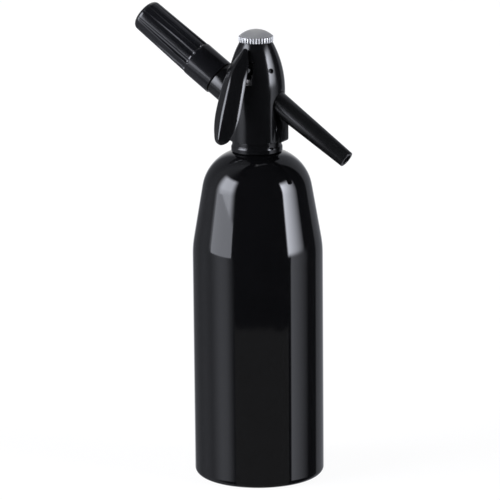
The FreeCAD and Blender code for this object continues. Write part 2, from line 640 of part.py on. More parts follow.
casing_blank = turned("casing_blank", [
    ("0", "casing_foot_z"),
    ("casing_r", "casing_foot_z"),
    ("casing_r", "swell_foot_z", "-swell_round"),
    ("casing_r + swell / 2", "swell_mid_z", "swell_round"),
    ("casing_max_r", "swell_top_z", "ogive_r"),
    ("casing_top_r", "casing_top_z"),
    ("0", "casing_top_z"),
])
casing_cavity = turned("casing_cavity", [
    ("0", "casing_foot_z - part_gap"),
    ("skirt_r + fit_gap", "casing_foot_z - part_gap"),
    ("skirt_r + fit_gap", "roof_z + skirt_roof + fit_gap"),
    ("cavity_r", "swell_top_z - cavity_straight"),
    ("cavity_r", "swell_top_z", "cavity_curve_r"),
    ("cavity_top_r", "cavity_top_z"),
    ("plug_r + part_gap", "cavity_top_z"),
    ("plug_r + part_gap", "casing_top_z - washer_h"),
    ("washer_r + part_gap", "casing_top_z - washer_h"),
    ("washer_r + part_gap", "casing_top_z + part_gap"),
    ("0", "casing_top_z + part_gap"),
])
inlet_tube = drill("inlet_tube", "inlet_tube_r", "inlet_tube_l", "seam_l", ALONG_INLET)
inlet_bore = drill("inlet_bore", "fitting_r + fit_gap", "inlet_socket_l", "seam_l + part_gap", ALONG_INLET)
spout_hole = drill("spout_hole", "spout_root_r + part_gap", "spout_step_l - part_gap", "spout_tip_l / 2",
                   ALONG_SPOUT)

chin = doc.addObject("PartDesign::Body", "chin")
chin_side = sketch_on(chin, "XZ_Plane", "chin_side")
draw(chin_side, [
    ("neck_thread_r", "casing_foot_z"),
    ("chin_reach - chin_round", "casing_foot_z", "chin_round"),
    ("chin_reach", "casing_foot_z + chin_round"),
    ("chin_reach", "spout_z - chin_reach * tan(spout_slope) - chin_drop"),
    ("neck_thread_r", "spout_z - neck_thread_r * tan(spout_slope) - chin_drop"),
])
chin_pad = chin.newObject("PartDesign::Pad", "chin_pad")
chin_pad.Profile = chin_side
chin_pad.Midplane = True
chin_pad.setExpression("Length", bound("2 * chin_half_w"))

lever_slot = box("lever_slot",
                 ("0 - slot_half_w", "0 - casing_max_r - part_gap", "pivot_z - slot_foot"),
                 ("2 * slot_half_w", "casing_max_r + part_gap - pivot_offset", "slot_h"))
pin_hole = cross_drill("pin_hole", "pin_r + fit_gap", "casing_max_r")



def from_axis(point, lie):
    """How far a point is from one of the siphon's axes, and how far along that axis."""
    height, turn = lie
    reach = point - Vector(0, 0, value(height))
    axis = Rotation(Y_AXIS, value(turn)).multVec(Z_AXIS)
    along = reach.dot(axis)
    return (reach - axis * along).Length, along


def near(measure, formula):
    return abs(measure - value(formula)) < 0.02


def at_tube_root(point):
    out = from_axis(point, ALONG_INLET)[0]
    return near(out, "inlet_tube_r") and math.hypot(point.x, point.y) < value("casing_max_r") + 0.02


def at_tube_end(point):
    out, along = from_axis(point, ALONG_INLET)
    return near(out, "inlet_tube_r") and near(along, "seam_l")


def at_chin_side(point):
    return near(abs(point.y), "chin_half_w") and point.x > value("chin_reach - chin_round") - 0.02


def at_foot(point):
    return near(point.z, "casing_foot_z") and near(math.hypot(point.x, point.y), "casing_r")


def at_slot(point):
    side = near(abs(point.x), "slot_half_w")
    end = near(abs(point.z - value("pivot_z - slot_foot + slot_h / 2")), "slot_h / 2")
    inside = abs(point.x) < value("slot_half_w") + 0.02 and point.y < -value("pivot_offset") - 0.02
    return (side or end) and inside and outside.Shells[0].distToShape(Part.Vertex(point))[0] < 0.02


def rounded(shape, radius, chosen):
    """Rounds each edge whose points are all chosen."""
    solid = shape.Solids[0]
    edges = [edge for edge in solid.Edges if all(chosen(point) for point in edge.discretize(7))]
    return solid.makeFillet(value(radius), edges)


casing_solid = fused("casing_solid", casing_blank, inlet_tube, chin)
doc.recompute()
outside = rounded(casing_solid.Shape.removeSplitter(), "tube_fillet", at_tube_root)
outside = rounded(outside, "chin_side_round", at_chin_side)
outside = rounded(outside, "edge_round", at_tube_end)
outside = rounded(outside, "edge_round", at_foot)
casing_open = cut("casing_open", shaped("casing_outside", outside),
                  casing_cavity, inlet_bore, spout_hole, lever_slot, pin_hole)
doc.recompute()
head_casing = shaped("head_casing", rounded(casing_open.Shape, "edge_round", at_slot).Solids[0])

lever_pin = cross_drill("lever_pin", "pin_r", "pin_half_l")

# ---------------------------------------------------------------------------------------------------
# Lever: a hollow keeled leaf on a stalk, whose forked fingers lift the valve stem's collar
# ---------------------------------------------------------------------------------------------------

# Cross-sections of the leaf: share of its length, share of its half-width, share of its keel height.
LEAF_SECTIONS = [
    (0.0, 0.08, 0.10), (0.05, 0.27, 0.29), (0.11, 0.48, 0.53), (0.18, 0.67, 0.76), (0.26, 0.83, 0.93),
    (0.36, 0.92, 1.0), (0.50, 0.98, 0.99), (0.62, 1.0, 0.96), (0.73, 0.98, 0.92), (0.83, 0.88, 0.83),
    (0.91, 0.70, 0.70), (0.965, 0.48, 0.60), (1.0, 0.18, 0.42),
]
# Shares of the leaf's length between which it is hollow, and between which the stalk joins it.
HOLLOW_FROM = 0.36
HOLLOW_TO = 0.965
STALK_FROM = 0.19
STALK_TO = 0.335


def leaf_frame():
    """The leaf's top point, the direction along its rim and the direction its keel stands out in."""
    top = Vector(0, -value("leaf_top_out"), value("pivot_z + leaf_top_up"))
    tip = Vector(0, -value("leaf_tip_out"), value("pivot_z - leaf_tip_down"))
    along = (tip - top).normalize()
    return top, along, along.cross(X_AXIS), top.distanceToPoint(tip)


def leaf_solid(sections, inset, sink):
    """Lofts keeled cross-sections, each drawn inset from the outer skin, with its rim sunk."""
    top, along, outward, length = leaf_frame()
    wires = []
    for share, width_share, keel_share in sections:
        half_width = value("leaf_half_w") * width_share - inset
        keel = value("leaf_keel") * keel_share - inset
        belly = value("leaf_belly") * keel_share
        middle = top + along * (share * length)
        crest = middle + outward * keel
        flanks = []
        for side in (-1, 1):
            rim = middle + X_AXIS * (side * half_width) - outward * sink
            half_way = (rim + crest) * 0.5
            bulge = (X_AXIS * side * (keel + sink) + outward * half_width).normalize() * belly
            flanks.append((rim, half_way + bulge))
        (left, left_mid), (right, right_mid) = flanks
        edges = [Part.Arc(left, left_mid, crest).toShape(), Part.Arc(crest, right_mid, right).toShape(),
                 Part.makeLine(right, left)]
        wires.append(Part.Wire(edges))
    return Part.makeLoft(wires, True, False)


def across(outline, half_width):
    """A plate from an outline of (distance from the axis on the lever's side, height) points."""
    points = [Vector(-half_width, -out, up) for out, up in outline]
    return Part.Face(Part.makePolygon(points + points[:1])).extrude(X_AXIS * 2 * half_width)


def lever_shape():
    pivot = Vector(0, -value("pivot_offset"), value("pivot_z"))
    finger = Vector(0, 0, value("finger_z"))
    half = value("hub_half_w")
    hub_r = value("hub_r")
    finger_r = value("finger_r")
    top, along, outward, length = leaf_frame()
    hollow = [section for section in LEAF_SECTIONS if HOLLOW_FROM <= section[0] <= HOLLOW_TO]
    leaf = leaf_solid(LEAF_SECTIONS, 0, 0).cut(leaf_solid(hollow, value("leaf_wall"), value("part_gap")))
    # The stalk runs from the hub into the solid upper part of the leaf.
    root_top = top + along * (STALK_FROM * length) + outward * value("leaf_belly")
    root_foot = top + along * (STALK_TO * length) + outward * value("leaf_belly")
    stalk = across([
        (-pivot.y, pivot.z - hub_r),
        (-root_foot.y, root_foot.z),
        (-root_top.y, root_top.z),
        (-pivot.y, pivot.z + hub_r),
    ], half)
    hub = Part.makeCylinder(hub_r, 2 * half, pivot - X_AXIS * half, X_AXIS)
    pieces = [stalk, hub]
    reach = finger - pivot
    rise = Vector(0, -reach.z, reach.y).normalize() * finger_r
    for low in (-value("finger_out"), value("finger_in")):
        thick = value("finger_out") - value("finger_in")
        start = Vector(low, 0, 0)
        corners = [pivot + rise * 0.4, pivot - rise, finger - rise, finger + rise, pivot + rise * 0.4]
        bar = Part.Face(Part.makePolygon([corner + start for corner in corners]))
        pieces.append(bar.extrude(X_AXIS * thick))
        pieces.append(Part.makeCylinder(finger_r, thick, finger + start, X_AXIS))
    bore = Part.makeCylinder(value("pin_r + run_gap"), 4 * half, pivot - X_AXIS * 2 * half, X_AXIS)
    return leaf.multiFuse(pieces).cut(bore)


lever = shaped("lever", lever_shape())

# ---------------------------------------------------------------------------------------------------
# Cap: a knurled screw plug that backs the valve spring, with a domed insert and a washer
# ---------------------------------------------------------------------------------------------------

cap_ring = turned("cap_ring", [
    ("0", "spring_seat_z + pilot_h"),
    ("stem_r + part_gap", "spring_seat_z + pilot_h"),
    ("stem_r + part_gap", "spring_seat_z"),
    ("spring_pocket_r", "spring_seat_z"),
    ("spring_pocket_r", "plug_foot_z"),
    ("plug_r", "plug_foot_z"),
    ("plug_r", "casing_top_z"),
    ("cap_r - cap_chamfer", "casing_top_z"),
    ("cap_r", "casing_top_z + cap_chamfer"),
    ("cap_r", "cap_top_z - cap_chamfer"),
    ("cap_r - cap_chamfer", "cap_top_z"),
    ("dome_foot_r + fit_gap", "cap_top_z"),
    ("dome_foot_r + fit_gap", "cap_top_z - dome_foot_h"),
    ("0", "cap_top_z - dome_foot_h"),
])
knurl_sketch = sketch_on(cap_ring, "XY_Plane", "knurl_sketch")
knurl_circle = knurl_sketch.addGeometry(
    Part.Circle(Vector(value("cap_r"), 0, 0), Z_AXIS, value("knurl_r")))
bind(knurl_sketch, "DistanceX", (-1, 1, knurl_circle, 3), "cap_r")
bind(knurl_sketch, "DistanceY", (-1, 1, knurl_circle, 3), "0")
bind(knurl_sketch, "Radius", (knurl_circle,), "knurl_r")
knurl = cap_ring.newObject("PartDesign::Pocket", "knurl")
knurl.Profile = knurl_sketch
knurl.Type = "ThroughAll"
knurl.Midplane = True
repeated(cap_ring, knurl, "knurls")

cap_dome = turned("cap_dome", [
    ("0", "cap_top_z - dome_foot_h"),
    ("dome_foot_r", "cap_top_z - dome_foot_h"),
    ("dome_foot_r", "cap_top_z"),
    ("dome_r", "cap_top_z", "dome_curve_r"),
    ("0", "cap_top_z + dome_h"),
])
cap_washer = ring("cap_washer", "washer_bore_r", "washer_r", "casing_top_z - washer_h", "casing_top_z")

# ---------------------------------------------------------------------------------------------------
# Spout: a tapered tube whose spigot, with a sealing ring, sits in the valve body
# ---------------------------------------------------------------------------------------------------

spout = turned("spout", [
    ("spout_bore_r", "spout_foot_l"),
    ("spigot_r", "spout_foot_l"),
    ("spigot_r", "ring_groove_l"),
    ("spigot_r - 2 * seal_wire_r + fit_gap", "ring_groove_l"),
    ("spigot_r - 2 * seal_wire_r + fit_gap", "ring_groove_l + 2 * seal_wire_r"),
    ("spigot_r", "ring_groove_l + 2 * seal_wire_r"),
    ("spigot_r", "spout_step_l"),
    ("spout_root_r", "spout_step_l"),
    ("spout_tip_r", "spout_tip_l"),
    ("spout_bore_r", "spout_tip_l"),
], ALONG_SPOUT)

spout_seal = doc.addObject("Part::Torus", "spout_seal")
spout_seal.setExpression("Radius1", bound("spigot_r + fit_gap - seal_wire_r"))
spout_seal.setExpression("Radius2", bound("seal_wire_r - fit_gap / 2"))
spout_seal.Placement = Placement(Vector(0, 0, 0), Rotation(Y_AXIS, value(ALONG_SPOUT[1])))
spout_seal.setExpression("Placement.Base.x", bound("(ring_groove_l + seal_wire_r) * cos(spout_slope)"))
spout_seal.setExpression("Placement.Base.z",
                         bound("spout_z - (ring_groove_l + seal_wire_r) * sin(spout_slope)"))
spout_seal.setExpression("Placement.Rotation.Angle", bound(ALONG_SPOUT[1]))

# ---------------------------------------------------------------------------------------------------
# Charger inlet: a threaded fitting with a piercing pin, a sieve, a non-return valve and seals
# ---------------------------------------------------------------------------------------------------

inlet_fitting = turned("inlet_fitting", [
    ("gas_bore_r", "inlet_socket_l + inlet_washer_h"),
    ("inlet_thread_r", "inlet_socket_l + inlet_washer_h"),
    ("inlet_thread_r", "fitting_step_l"),
    ("fitting_r", "fitting_step_l"),
    ("fitting_r", "seam_l"),
    ("holder_thread_r", "seam_l"),
    ("holder_thread_r", "thread_end_l"),
    ("neck_cup_r", "thread_end_l"),
    ("neck_cup_r", "charger_seal_l"),
    ("cup_r + fit_gap", "charger_seal_l"),
    ("cup_r + fit_gap", "valve_cup_l"),
    ("gas_bore_r", "valve_cup_l"),
], ALONG_INLET)
inlet_washer = ring("inlet_washer", "gas_bore_r", "inlet_thread_r - fit_gap",
                    "inlet_socket_l", "inlet_socket_l + inlet_washer_h", ALONG_INLET)
check_valve = turned("check_valve", [
    ("gas_bore_r", "valve_cup_l"),
    ("cup_r", "valve_cup_l"),
    ("cup_r", "valve_cup_l + check_valve_h / 4"),
    ("cup_r / 2 + gas_bore_r / 2", "valve_cup_l + check_valve_h / 4"),
    ("cup_r / 2 + gas_bore_r / 2", "sieve_l"),
    ("gas_bore_r / 2", "sieve_l"),
    ("gas_bore_r / 2", "sieve_l - check_valve_h / 4"),
    ("gas_bore_r", "sieve_l - check_valve_h / 4"),
], ALONG_INLET)
inlet_sieve = ring("inlet_sieve", "0", "cup_r", "sieve_l", "pin_holder_l", ALONG_INLET)
pin_holder = turned("pin_holder", [
    ("pierce_bore_r", "pin_holder_l"),
    ("cup_r", "pin_holder_l"),
    ("cup_r", "charger_seal_l"),
    ("pierce_r + fit_gap", "charger_seal_l"),
    ("pierce_r + fit_gap", "charger_seal_l - pin_socket_h"),
    ("pierce_bore_r", "charger_seal_l - pin_socket_h"),
], ALONG_INLET)
piercing_pin = turned("piercing_pin", [
    ("pierce_bore_r", "charger_seal_l - pin_socket_h"),
    ("pierce_r", "charger_seal_l - pin_socket_h"),
    ("pierce_r", "charger_seal_l + pierce_out - 2 * pierce_r"),
    ("pierce_bore_r", "charger_seal_l + pierce_out"),
], ALONG_INLET)
charger_seal = ring("charger_seal", "charger_seal_bore_r", "neck_cup_r - fit_gap",
                    "charger_seal_l", "mouth_l", ALONG_INLET)

# ---------------------------------------------------------------------------------------------------
# Gas charger and the fluted holder that screws it on to the piercing pin
# ---------------------------------------------------------------------------------------------------

co2_charger = turned("co2_charger", [
    ("charger_mouth_r", "mouth_l"),
    ("charger_neck_r", "mouth_l"),
    ("charger_neck_r", "neck_end_l"),
    ("charger_r", "charger_body_l"),
    ("charger_r", "charger_end_at - charger_end_l"),
    ("charger_r / 2", "charger_end_at"),
    ("0", "charger_end_at"),
    ("0", "charger_end_at - charger_wall"),
    ("charger_r / 2 - charger_wall / 2", "charger_end_at - charger_wall"),
    ("charger_r - charger_wall", "charger_end_at - charger_end_l - charger_wall / 2"),
    ("charger_r - charger_wall", "charger_body_l + charger_wall / 2"),
    ("charger_neck_r - charger_wall", "neck_end_l + charger_wall / 2"),
    ("charger_neck_r - charger_wall", "mouth_l + charger_wall"),
    ("charger_mouth_r", "mouth_l + charger_wall"),
], ALONG_INLET)

holder_insert = ring("holder_insert", "insert_bore_r", "insert_r", "holder_l", "holder_l + insert_l",
                     ALONG_INLET)

charger_holder = turned("charger_holder", [
    ("insert_r + fit_gap", "holder_l"),
    ("holder_collar_r - edge_round", "holder_l", "edge_round"),
    ("holder_collar_r", "holder_l + edge_round"),
    ("holder_collar_r", "grip_l"),
    ("holder_grip_r", "grip_l + holder_collar_r - holder_grip_r"),
    ("holder_end_r", "holder_end_l - holder_end_round", "holder_end_round"),
    ("holder_end_r - holder_end_round", "holder_end_l"),
    ("0", "holder_end_l"),
    ("0", "holder_end_l - holder_end"),
    ("charger_r / 2 + part_gap", "holder_end_l - holder_end"),
    ("holder_bore_r", "charger_end_at - charger_end_l"),
    ("holder_bore_r", "holder_l + insert_l + fit_gap"),
    ("insert_r + fit_gap", "holder_l + insert_l + fit_gap"),
], ALONG_INLET)

# A flute is turned about a line just outside the grip that draws away from it towards the end.
FLUTE_START = "grip_l + flute_gap"
FLUTE_AXIS_FOOT = "holder_grip_r + flute_r - flute_depth"
FLUTE_AXIS_END = "holder_end_r + flute_r - flute_end_depth"
flute_sketch = sketch_on(charger_holder, "XZ_Plane", "flute_sketch")
draw(flute_sketch, [
    (FLUTE_AXIS_FOOT, FLUTE_START, "-flute_r"),
    (f"{FLUTE_AXIS_FOOT} - flute_r", f"{FLUTE_START} + flute_r"),
    (f"{FLUTE_AXIS_END} - flute_r", "holder_end_l"),
    (FLUTE_AXIS_END, "holder_end_l"),
])
flute_axis = flute_sketch.addGeometry(
    Part.LineSegment(Vector(value(FLUTE_AXIS_FOOT), value(FLUTE_START), 0),
                     Vector(value(FLUTE_AXIS_END), value("holder_end_l"), 0)), True)
flute_sketch.addConstraint(Sketcher.Constraint("Coincident", flute_axis, 1, 3, 2))
flute_sketch.addConstraint(Sketcher.Constraint("Coincident", flute_axis, 2, 3, 1))
flute = charger_holder.newObject("PartDesign::Groove", "flute")
flute.Profile = flute_sketch
flute.ReferenceAxis = (flute_sketch, ["Axis0"])
flute.Angle = 360
repeated(charger_holder, flute, "flutes")

# ---------------------------------------------------------------------------------------------------
# Tubes that hang from the valve body into the bottle
# ---------------------------------------------------------------------------------------------------

riser_tube = ring("riser_tube", "riser_bore_r", "riser_r", "base_dome + body_wall + riser_lift",
                  "chamber_foot_z")
riser_bush = ring("riser_bush", "riser_r + fit_gap", "measure_r", "bush_z", "bush_z + bush_h")
measuring_tube = ring("measuring_tube", "measure_bore_r", "measure_r",
                      "roof_z + measure_socket - measure_l", "roof_z + measure_socket")

# ---------------------------------------------------------------------------------------------------
# Check every object, then write one file for each sub-part
# ---------------------------------------------------------------------------------------------------

SUB_PARTS = [
    bottle, neck_ring, head_gasket, head_casing, valve_body, valve_seat, stem_packing, gland_nut,
    valve_stem, valve_disc, lift_collar, valve_spring, lever, lever_pin, cap_ring, cap_dome, cap_washer,
    spout, spout_seal, inlet_fitting, inlet_washer, check_valve, inlet_sieve, pin_holder, piercing_pin,
    charger_seal, co2_charger, charger_holder, holder_insert, riser_tube, riser_bush, measuring_tube,
]

doc.recompute()
for thing in doc.Objects:
    if {"Invalid", "Error"} & set(thing.State):
        raise RuntimeError(f"{thing.Name} failed: {thing.State}")
for part in SUB_PARTS:
    if part.Shape.isNull() or not part.Shape.isValid() or part.Shape.Volume <= 0:
        raise RuntimeError(f"{part.Label} has no valid shape")

os.makedirs("parts", exist_ok=True)
for part in SUB_PARTS:
    part.Shape.exportStep(f"parts/{part.Label}.step")
    print(f"{part.Label}: {len(part.Shape.Solids)} solid, {part.Shape.Volume:.1f} mm3")
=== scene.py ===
import math

import bmesh
import bpy
from mathutils import Matrix, Vector


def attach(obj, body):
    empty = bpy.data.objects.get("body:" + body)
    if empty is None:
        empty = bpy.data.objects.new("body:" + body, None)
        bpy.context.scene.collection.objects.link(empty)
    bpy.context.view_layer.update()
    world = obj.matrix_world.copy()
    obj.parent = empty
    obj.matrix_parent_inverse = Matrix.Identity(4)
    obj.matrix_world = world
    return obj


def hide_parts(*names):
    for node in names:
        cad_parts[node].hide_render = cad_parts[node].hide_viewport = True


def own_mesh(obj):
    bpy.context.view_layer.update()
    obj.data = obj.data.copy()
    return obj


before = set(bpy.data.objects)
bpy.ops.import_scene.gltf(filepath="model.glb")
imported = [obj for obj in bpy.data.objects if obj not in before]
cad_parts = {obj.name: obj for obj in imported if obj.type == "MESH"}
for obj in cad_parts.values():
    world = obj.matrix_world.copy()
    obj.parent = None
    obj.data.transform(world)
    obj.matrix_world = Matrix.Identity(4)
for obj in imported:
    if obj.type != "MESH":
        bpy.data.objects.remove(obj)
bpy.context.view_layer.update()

# ---- Camera ---------------------------------------------------------------------------------------
# A long lens almost three metres away, to the right of the lever and slightly above. It is aimed near the
# middle of the siphon's height and rolled by half a degree.
view_azimuth, view_elevation = math.radians(29), math.radians(14)
aim, distance, roll = Vector((0, 0, 0.150)), 2.9, math.radians(-0.4922)
backward = Vector((math.sin(view_azimuth) * math.cos(view_elevation),
                   -math.cos(view_azimuth) * math.cos(view_elevation), math.sin(view_elevation)))
lens = bpy.data.cameras.new("camera")
lens.lens, lens.sensor_width = 302.3, 36
lens.shift_x, lens.shift_y = -0.01574, 0.02537
camera = bpy.data.objects.new("camera", lens)
camera.location = aim + backward * distance
camera.rotation_mode = "QUATERNION"
rolled = Matrix.Rotation(roll, 3, "Z").to_quaternion()
camera.rotation_quaternion = backward.to_track_quat("Z", "Y") @ rolled
bpy.context.scene.collection.objects.link(camera)
bpy.context.scene.camera = camera
bpy.context.scene.view_settings.view_transform = "Standard"


# ---- Studio ---------------------------------------------------------------------------------------
# A tall softbox on each side with the table lit below it, white paper behind and a dark room in front.
# The camera sees plain white all round.
class Shade:
    """A socket of a node tree that can be used in plain sums; node() adds any other node to the tree."""

    def __init__(self, tree, socket=None):
        self.tree, self.socket = tree, socket

    def node(self, kind, settings=None, feeds=None, output=0):
        added = self.tree.nodes.new(kind)
        for name, setting in (settings or {}).items():
            setattr(added, name, setting)
        for name, feed in (feeds or {}).items():
            if isinstance(feed, Shade):
                self.tree.links.new(feed.socket, added.inputs[name])
            else:
                added.inputs[name].default_value = feed
        return Shade(self.tree, added.outputs[output] if len(added.outputs) else None)

    def maths(self, operation, *terms):
        return self.node("ShaderNodeMath", {"operation": operation}, dict(enumerate(terms)))

    def __add__(self, other):
        return self.maths("ADD", self, other)

    def __sub__(self, other):
        return self.maths("SUBTRACT", self, other)

    def __rsub__(self, other):
        return self.maths("SUBTRACT", other, self)

    def __mul__(self, other):
        return self.maths("MULTIPLY", self, other)

    __radd__ = __add__
    __rmul__ = __mul__

    def fade(self, low, high, kind="SMOOTHSTEP"):
        """Goes from 0 to 1 as the value goes from low to high."""
        return self.node("ShaderNodeMapRange", {"interpolation_type": kind},
                         {"Value": self, "From Min": low, "From Max": high})

    def split(self):
        parts = self.node("ShaderNodeSeparateXYZ", None, {"Vector": self}).socket.node
        return [Shade(self.tree, output) for output in parts.outputs]


def tint(shade, factor, low, high):
    """A colour between two."""
    return shade.node("ShaderNodeMix", {"data_type": "RGBA"}, {0: factor, 6: (*low, 1), 7: (*high, 1)},
                      output=2)


def straight(shade):
    """1 for rays that come from the camera, also through glass, and 0 for all others."""
    direct, through = (shade.node("ShaderNodeLightPath", output=kind)
                       for kind in ("Is Camera Ray", "Is Transmission Ray"))
    return shade.maths("MAXIMUM", direct, through)


# Turn and lift are a direction's angles in degrees, from the camera's azimuth and from the horizon.
world = bpy.data.worlds.new("studio")
bpy.context.scene.world = world
world.use_nodes = True
world.node_tree.nodes.clear()
air = Shade(world.node_tree)
across, along, up = air.node("ShaderNodeTexCoord").split()
ahead = across * math.sin(view_azimuth) - along * math.cos(view_azimuth)
aside = across * math.cos(view_azimuth) + along * math.sin(view_azimuth)
turn = air.maths("ARCTAN2", aside, ahead) * (180 / math.pi)
lift = air.maths("ARCSINE", up) * (180 / math.pi)

left_box = turn.fade(-100, -80) * turn.fade(-45, -60) * (lift.fade(-4, 16, "LINEAR") * 5.0 + 3.5)
right_box = turn.fade(53, 57) * turn.fade(92, 57, "LINEAR") * (lift.fade(0, 20, "LINEAR") * 4.5 + 10.5)
boxes = (left_box * lift.fade(42, 34) + right_box * lift.fade(36, 24)) * lift.fade(-6, 0)
left_table = turn.fade(-95, -66) * turn.fade(-40, -62) * 0.85
right_table = turn.fade(59, 61.5) * turn.fade(100, 60, "LINEAR") * 1.5
table = (left_table + right_table) * lift.fade(-1, -6) * lift.fade(-28, -22)
paper = air.maths("ABSOLUTE", turn).fade(156, 176)
room = turn.fade(-60, -95) * (0.3 - turn.fade(-105, -130) * 0.14) + turn.fade(121, 127) * 0.3 + 0.02

lamp_tint, white = (0.945, 0.975, 1.08), (1, 1, 1)
glossy = air.node("ShaderNodeLightPath", output="Is Glossy Ray")
seen = air.maths("MAXIMUM", straight(air), glossy * paper)
glow = air.node("ShaderNodeMix", None, {"Factor": seen, "A": boxes + table + paper * 0.3 + room, "B": 1.0})
lamps = air.node("ShaderNodeBackground", None, {"Color": tint(air, seen, lamp_tint, white), "Strength": glow})
air.node("ShaderNodeOutputWorld", None, {"Surface": lamps})


def card(name, corners):
    """A flat card of the studio."""
    bm = bmesh.new()
    bm.faces.new([bm.verts.new(corner_at) for corner_at in corners])
    mesh = bpy.data.meshes.new(name)
    bm.to_mesh(mesh)
    bm.free()
    laid = bpy.data.objects.new(name, mesh)
    bpy.context.scene.collection.objects.link(laid)
    return laid


def blank(name):
    """A new material without nodes, and the shade that adds them."""
    material = bpy.data.materials.new(name)
    material.use_nodes = True
    material.node_tree.nodes.clear()
    return material, Shade(material.node_tree)


def emission(shade, colour, strength):
    return shade.node("ShaderNodeEmission", None, {"Color": (*colour, 1), "Strength": strength})


def shining_card(name, corners, colour, strength):
    """A card that shines, and that shows only in the siphon's gloss."""
    laid = card(name, corners)
    material, shade = blank(name)
    shade.node("ShaderNodeOutputMaterial", None, {"Surface": emission(shade, colour, strength)})
    laid.data.materials.append(material)
    laid.visible_camera = laid.visible_diffuse = laid.visible_shadow = False


def placed(ahead, aside, height):
    """The point so far towards the camera, so far to its right and so high."""
    return (ahead * math.sin(view_azimuth) + aside * math.cos(view_azimuth),
            aside * math.sin(view_azimuth) - ahead * math.cos(view_azimuth), height)


floor_reach, floor_white = 4, 0.85
floor = card("floor", [(-floor_reach, -floor_reach, 0), (floor_reach, -floor_reach, 0),
                       (floor_reach, floor_reach, 0), (-floor_reach, floor_reach, 0)])
white_floor, shade = blank("white_floor")
lit = shade.node("ShaderNodeBsdfDiffuse", None, {"Color": (floor_white, floor_white, floor_white, 1)})
plain = emission(shade, white, 1.10)
surface = shade.node("ShaderNodeMixShader", None, {0: straight(shade) * 0.85, 1: lit, 2: plain})
shade.node("ShaderNodeOutputMaterial", None, {"Surface": surface})
floor.data.materials.append(white_floor)
floor.visible_glossy = False

# The table in front of the bottle, which shows as a dim shine in its lower half.
table_edge = [(0.042, -0.017), (0.342, -0.296), (0.425, -0.150), (0.455, 0.000), (0.425, 0.160),
              (0.275, 0.357), (0.040, 0.021)]
shining_card("near_table", [placed(ahead, aside, -0.001) for ahead, aside in table_edge], white, 0.16)

# The foot of the left softbox, a metre away, which the parts high up see below their own level.
foot_edge = [(-0.731, 0.09), (-1.0, 0.09), (-1.0, 0.27), (-0.731, 0.27)]
shining_card("box_foot", [placed(math.sqrt(1.0 - aside * aside), aside, height)
                          for aside, height in foot_edge], lamp_tint, 3.4)


# ---- Bottle ---------------------------------------------------------------------------------------
# One-litre pressure bottle, spun from aluminium and enamelled gloss black outside. The foot is hollow, and
# the shoulder tapers to a neck with a rolled thread of 3 mm pitch, left bare like the inside.
longest_step, widest_turn = 2.5, math.radians(12)


def spun(bm, section, steps):
    """Spins a half-section of (out, up) points in mm about the upright axis. A third number is the radius of
    the arc to the next point, positive where the arc bends anticlockwise. The arc's steps are about as long
    as longest_step, or turn by about widest_turn where that gives more of them."""
    old = set(bm.verts)
    closed = section[0][0] > 0
    here = bm.verts.new((section[0][0], 0, section[0][1]))
    ends = section[1:] + (section[:1] if closed else [])
    for (out, up, *bend), (to_out, to_up, *_) in zip(section, ends):
        if bend:
            chord = Vector((to_out - out, 0, to_up - up))
            reach = math.sqrt(bend[0] ** 2 - chord.length_squared / 4)
            aside = Vector((-chord.z, 0, chord.x)).normalized() * math.copysign(reach, bend[0])
            angle = 2 * math.asin(chord.length / 2 / abs(bend[0]))
            parts = max(3, round(angle * abs(bend[0]) / longest_step), round(angle / widest_turn))
            arc = bmesh.ops.spin(bm, geom=[here], cent=here.co + chord / 2 + aside, dvec=(0, 0, 0),
                                 axis=(0, -math.copysign(1, bend[0]), 0), angle=angle, steps=parts)
            here = next(item for item in arc["geom_last"] if isinstance(item, bmesh.types.BMVert))
        else:
            here = bmesh.ops.extrude_vert_indiv(bm, verts=[here])["verts"][0]
            here.co = (to_out, 0, to_up)
    bmesh.ops.remove_doubles(bm, verts=[vert for vert in bm.verts if vert not in old], dist=1e-4)
    verts = [vert for vert in bm.verts if vert not in old]
    edges = sorted({edge for vert in verts for edge in vert.link_edges}, key=lambda edge: edge.index)
    bmesh.ops.spin(bm, geom=verts + edges, cent=(0, 0, 0), axis=(0, 0, 1), dvec=(0, 0, 0), angle=2 * math.pi,
                   steps=steps, use_merge=True)


def threaded(bm, root, crest, pitch, foot, turns):
    """Winds a thread's ridge of trapezoid section about the upright axis, with both ends run out."""
    steps, sunk = 72, root - 0.2
    corners = [(sunk, -pitch * 0.4), (crest, -pitch * 0.15), (crest, pitch * 0.15), (sunk, pitch * 0.4)]
    first = bm.faces.new([bm.verts.new((out, 0, foot + up)) for out, up in corners])
    wound = bmesh.ops.spin(bm, geom=[first], cent=(0, 0, 0), axis=(0, 0, 1), dvec=(0, 0, pitch / steps),
                           angle=2 * math.pi * turns, steps=round(turns * steps))
    last = next(item for item in wound["geom_last"] if isinstance(item, bmesh.types.BMFace))
    for end in (first, last):
        for vert in end.verts:
            vert.co.xy *= sunk / vert.co.xy.length


def merged(bm):
    bmesh.ops.remove_doubles(bm, verts=bm.verts, dist=1e-4)
    bmesh.ops.recalc_face_normals(bm, faces=bm.faces)


def eased(bm, width, segments, sharper=25):
    """Rounds every edge of a mesh that is sharper than an angle."""
    merged(bm)
    sharp = [edge for edge in bm.edges if edge.is_manifold and edge.calc_face_angle() > math.radians(sharper)]
    bmesh.ops.bevel(bm, geom=sharp, offset=width, affect="EDGES", segments=segments, profile=0.5, material=-1,
                    clamp_overlap=True)


